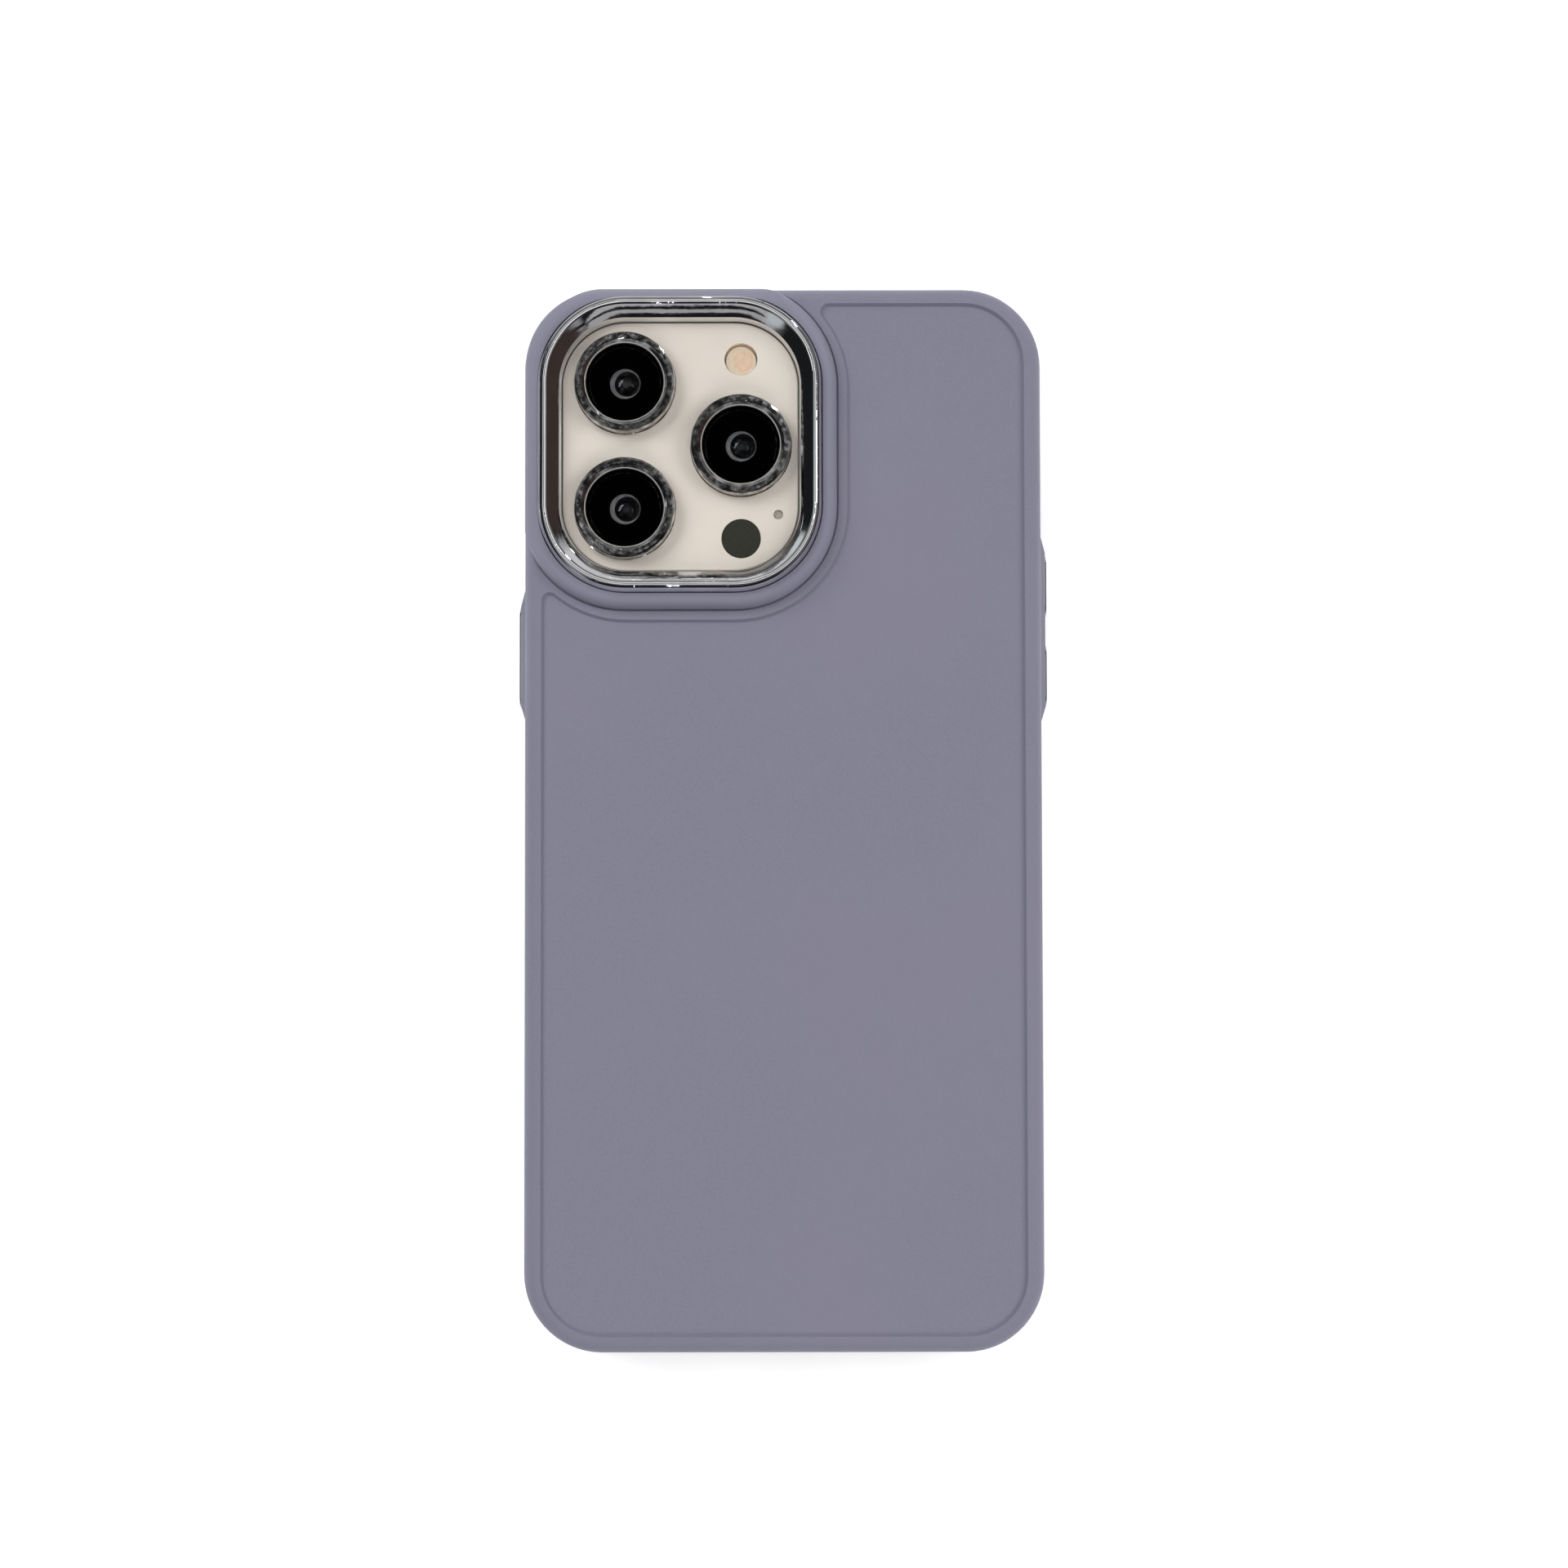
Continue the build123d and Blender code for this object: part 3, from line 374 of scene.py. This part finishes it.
def cover_chrome():
    """Mirror chrome plate with faint waves, brushed darker on the side buttons' faces."""
    look = Look("cover_chrome", metallic=1.0)
    look.tint(look.noise(4.0), (0.80, 0.80, 0.81), (0.88, 0.88, 0.89))
    low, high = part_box("cover_power_button")
    face = look.close(look.height(), (low.z + high.z) / 2, BUTTON_FACE_REACH * MM)
    brushed = look.both(face, look.noise(0.25, detail=3.0, stretch=(1, 0.06, 1)))
    look.over(brushed, (0.34, 0.34, 0.35), 0.20, 0.65)
    look.gloss(look.noise(1.5, detail=4.0), 0.02, 0.06)
    look.relief(look.noise(2.5), 0.014)
    look.relief(look.noise(0.25, detail=3.0), 0.0006)
    return look.material


def plateau_glass():
    """Polished cream glass with a trace of smears."""
    look = Look("plateau_glass", coat=1.0, coat_roughness=0.03)
    look.tint(look.noise(14.0), (0.70, 0.64, 0.57), (0.75, 0.69, 0.61))
    look.gloss(look.noise(5.0, detail=5.0), 0.12, 0.26)
    return look.material


def rear_glass():
    """Frosted cream glass under the cover."""
    look = Look("rear_glass")
    look.tint(look.noise(14.0), (0.58, 0.53, 0.46), (0.62, 0.57, 0.50))
    look.gloss(look.noise(0.5, detail=3.0), 0.38, 0.5)
    look.relief(look.noise(0.1), 0.001)
    return look.material


def lens_metal():
    """Polished dark trim whose colour is mottled pale as painted reflections, with a thin painted
    highlight line next to the glass.
    """
    look = Look("lens_metal")
    reach = look.spread([f"lens_ring_{name}" for name in LENS_NAMES])
    # Painted reflections: the random tone runs from dark to pale to stand for broken reflections on the
    # polished trim.
    look.tint(look.noise(1.5, detail=4.0), (0.26, 0.255, 0.25), (0.80, 0.79, 0.77))
    # Painted highlight: a thin pale, non-metal line next to the glass stands for the glass edge's
    # reflection.
    look.over(reach, (0.36, 0.35, 0.33), TRIM_BARE_METAL_R, TRIM_HIGHLIGHT_R)
    look.bare(reach, TRIM_HIGHLIGHT_R, TRIM_BARE_METAL_R)
    look.gloss(look.noise(0.9, detail=3.0), 0.05, 0.16)
    look.relief(look.noise(0.8, detail=3.0), 0.014)
    return look.material


def lens_glass():
    """Clear coated cover glass."""
    look = Look("lens_glass", transmission=1.0, ior=1.38)
    look.tint(look.noise(6.0), (0.80, 0.84, 0.90), (0.90, 0.90, 0.94))
    look.gloss(look.noise(3.0, detail=5.0), 0.0, 0.03, 0.5, 0.8)
    return look.material


def optic_glass():
    """A dark coated front element."""
    look = Look("optic_glass", specular=0.5)
    look.tint(look.noise(1.2), (0.004, 0.005, 0.004), (0.022, 0.023, 0.017))
    look.gloss(look.noise(0.9), 0.02, 0.06)
    return look.material


def optic_black():
    """Matte black flocking inside the lenses."""
    look = Look("optic_black", specular=0.1)
    look.tint(look.noise(0.2), (0.001, 0.001, 0.0012), (0.003, 0.003, 0.0035))
    look.gloss(look.noise(0.4), 0.75, 0.95)
    look.relief(look.noise(0.1), 0.01)
    return look.material


def barrel_plastic():
    """Satin black barrel with a painted highlight: a pale rim round its mouth, wider on the left."""
    look = Look("barrel_plastic", specular=0.2)
    barrels = [f"lens_barrel_{name}" for name in LENS_NAMES]
    look.tint(look.noise(0.3), (0.002, 0.002, 0.0024), (0.006, 0.006, 0.007))
    # Painted highlight: a pale crescent on the barrel's rim, wider on the left where the light falls.
    look.over(look.spread(barrels, HIGHLIGHT_CRESCENT_SHIFT), (0.36, 0.34, 0.31), *BARREL_HIGHLIGHT_R)
    look.over(look.spread(barrels), (0.004, 0.004, 0.004), *BARREL_MOUTH_R)
    look.gloss(look.noise(0.3), 0.35, 0.5)
    return look.material


def flash_clear():
    """Clear moulded window."""
    look = Look("flash_clear", transmission=1.0, ior=1.3)
    look.tint(look.noise(2.0), (0.95, 0.93, 0.88), (0.99, 0.98, 0.95))
    look.gloss(look.noise(1.0), 0.0, 0.06)
    return look.material


def flash_emitter():
    """Pale phosphor under a ribbed moulded lens, with a painted highlight crescent on its left and a
    faint painted glow though the flash is off.
    """
    # Painted light: the phosphor glows faintly in peach, though the flash is off.
    look = Look("flash_emitter", coat=0.6, coat_roughness=0.1, glow=0.20)
    look.shader.inputs["Emission Color"].default_value = (1.0, 0.72, 0.50, 1)
    look.tint(look.noise(0.8), (0.86, 0.66, 0.50), (0.96, 0.80, 0.66))
    # Painted highlight: a paler crescent on the left of the phosphor, as if light fell into that side
    # of the recess.
    look.over(look.spread(["flash_led"], HIGHLIGHT_CRESCENT_SHIFT), (0.98, 0.90, 0.80), *FLASH_HIGHLIGHT_R)
    look.gloss(look.noise(0.5), 0.2, 0.4)
    look.relief(look.rings("flash_led", 0.35), 0.02)
    return look.material


def sensor_window():
    """Dark smoked window with a satin face."""
    look = Look("sensor_window", specular=0.04)
    look.tint(look.noise(0.25), (0.031, 0.031, 0.025), (0.038, 0.038, 0.031))
    look.gloss(look.noise(2.0, detail=4.0), 0.35, 0.5)
    return look.material


def screen_glass():
    """Polished black front glass with a few finger smears."""
    look = Look("screen_glass", coat=1.0, coat_roughness=0.01)
    look.tint(look.noise(20.0), (0.004, 0.004, 0.005), (0.009, 0.009, 0.011))
    look.gloss(look.noise(12.0, detail=6.0, stretch=(1, 0.4, 1)), 0.02, 0.12, 0.45, 0.75)
    return look.material


def display():
    """The dark unlit panel, with its fine pixel rows."""
    look = Look("display")
    look.tint(look.weave(0.12), (0.004, 0.004, 0.006), (0.010, 0.010, 0.013))
    look.gloss(look.noise(8.0), 0.08, 0.16)
    return look.material


def mesh_metal():
    """Fine woven dust mesh."""
    look = Look("mesh_metal", metallic=0.3)
    look.tint(look.weave(0.16), (0.42, 0.38, 0.335), (0.94, 0.87, 0.78))
    look.gloss(look.noise(0.5), 0.35, 0.5)
    look.relief(look.weave(0.16), 0.04)
    return look.material


def plastic(name, low, high, rough, grain, height):
    """A moulded plastic or rubber with a fine grain."""
    look = Look(name)
    look.tint(look.noise(3.0, detail=4.0), low, high)
    look.gloss(look.noise(1.2, detail=3.0), *rough)
    look.relief(look.noise(grain), height)
    return look.material


def antenna_plastic():
    """Cream plastic antenna break."""
    return plastic("antenna_plastic", (0.60, 0.56, 0.49), (0.68, 0.63, 0.56), (0.35, 0.5), 0.15, 0.004)


def seal_black():
    """Black rubber seal."""
    return plastic("seal_black", (0.012, 0.012, 0.012), (0.022, 0.022, 0.022), (0.6, 0.8), 0.2, 0.01)


def speaker_plastic():
    """Black glass-filled plastic."""
    return plastic("speaker_plastic", (0.012, 0.012, 0.012), (0.03, 0.03, 0.03), (0.4, 0.6), 0.3, 0.02)


def port_plastic():
    """Black moulded plastic of the socket."""
    return plastic("port_plastic", (0.010, 0.010, 0.010), (0.022, 0.022, 0.022), (0.3, 0.45), 0.2, 0.01)


def battery_wrap():
    """Black foil wrap with soft wrinkles."""
    look = Look("battery_wrap", specular=0.6)
    look.tint(look.noise(12.0), (0.012, 0.012, 0.014), (0.028, 0.028, 0.032))
    look.gloss(look.noise(4.0, detail=4.0), 0.25, 0.45)
    look.relief(look.noise(7.0, detail=3.0), 0.25)
    return look.material


def ferrite():
    """Dark ferrite sheet with pale flecks."""
    look = Look("ferrite")
    look.tint(look.noise(0.5, detail=5.0), (0.035, 0.035, 0.036), (0.10, 0.10, 0.10))
    look.gloss(look.noise(2.0), 0.55, 0.75)
    return look.material


def board(name, low, high, copper):
    """Solder mask over fine copper tracks."""
    look = Look(name, coat=0.5, coat_roughness=0.15)
    look.tint(look.noise(6.0), low, high)
    look.over(look.cells(1.2), copper, 0.55, 0.62)
    look.gloss(look.noise(1.0), 0.3, 0.45)
    look.relief(look.cells(1.2), 0.03)
    return look.material


def sensor_board():
    """Green mask of the sensors' small boards."""
    return board("sensor_board", (0.02, 0.10, 0.05), (0.03, 0.14, 0.07), (0.30, 0.26, 0.10))


def board_mask():
    """Dark blue mask of the main board."""
    return board("board_mask", (0.010, 0.030, 0.085), (0.016, 0.045, 0.12), (0.26, 0.22, 0.12))


def flex_film():
    """Amber film with buried tracks."""
    return board("flex_film", (0.22, 0.095, 0.018), (0.30, 0.14, 0.03), (0.42, 0.20, 0.06))


def metal(name, low, high, rough, stretch=(1, 1, 1)):
    """A bare metal with a brushed or satin face."""
    look = Look(name, metallic=1.0)
    look.tint(look.noise(5.0, detail=4.0), low, high)
    look.gloss(look.noise(0.4, detail=3.0, stretch=stretch), *rough)
    look.relief(look.noise(0.15, stretch=stretch), 0.002)
    return look.material


def band_metal():
    """Polished warm silver band, drawn lengthwise."""
    return metal("band_metal", (0.66, 0.60, 0.51), (0.74, 0.68, 0.59), (0.10, 0.22), (0.1, 0.1, 1))


def key_metal():
    """Side keys and slider, in the band's metal."""
    return metal("key_metal", (0.64, 0.58, 0.49), (0.72, 0.66, 0.57), (0.10, 0.20), (1, 0.1, 1))


def module_metal():
    """Satin camera housings."""
    return metal("module_metal", (0.42, 0.42, 0.41), (0.50, 0.50, 0.49), (0.25, 0.4))


def shield_metal():
    """Stamped tinned steel cans."""
    return metal("shield_metal", (0.48, 0.48, 0.48), (0.58, 0.58, 0.57), (0.22, 0.36))


def chassis_metal():
    """Bead-blasted aluminium plate."""
    return metal("chassis_metal", (0.52, 0.52, 0.53), (0.60, 0.60, 0.61), (0.38, 0.52))


def haptic_metal():
    """Brushed steel case of the vibration motor."""
    return metal("haptic_metal", (0.52, 0.51, 0.49), (0.60, 0.59, 0.57), (0.22, 0.36), (0.1, 1, 1))


def haptic_weight():
    """Sintered tungsten."""
    return metal("haptic_weight", (0.20, 0.19, 0.18), (0.30, 0.29, 0.28), (0.45, 0.6))


def port_metal():
    """Drawn steel shell of the socket."""
    return metal("port_metal", (0.48, 0.48, 0.48), (0.56, 0.56, 0.56), (0.18, 0.3), (1, 0.1, 1))


def screw_metal():
    """Plated screw heads."""
    return metal("screw_metal", (0.44, 0.43, 0.41), (0.54, 0.53, 0.51), (0.2, 0.32))


def switch_metal():
    """Pressed steel domes."""
    return metal("switch_metal", (0.56, 0.54, 0.51), (0.64, 0.62, 0.59), (0.15, 0.25))


def coil_copper():
    """Enamelled copper wire, wound flat."""
    look = Look("coil_copper", metallic=1.0, coat=0.5, coat_roughness=0.1)
    look.tint(look.noise(3.0), (0.55, 0.25, 0.12), (0.66, 0.32, 0.17))
    look.gloss(look.noise(0.6), 0.2, 0.32)
    look.relief(look.rings("charging_coil", 0.35), 0.08)
    return look.material


MAKERS = [
    soft_cover, cover_chrome, plateau_glass, rear_glass, lens_metal, lens_glass, optic_glass,
    optic_black, barrel_plastic, flash_clear, flash_emitter, sensor_window, screen_glass,
    display, mesh_metal, antenna_plastic, seal_black, speaker_plastic, port_plastic,
    battery_wrap, ferrite, sensor_board, board_mask, flex_film, band_metal, key_metal,
    module_metal, shield_metal, chassis_metal, haptic_metal, haptic_weight, port_metal,
    screw_metal, switch_metal, coil_copper,
]


def dress_nodes():
    """Gives every CAD node the full look of its material slot."""
    looks = {make.__name__: make for make in MAKERS}
    made = {}
    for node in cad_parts.values():
        for place in node.material_slots:
            slot = place.material.name.split(".")[0]
            if slot not in made:
                made[slot] = looks[slot]()
            place.material = made[slot]


add_camera()
add_floor()
add_room()
add_lights()
dress_nodes()
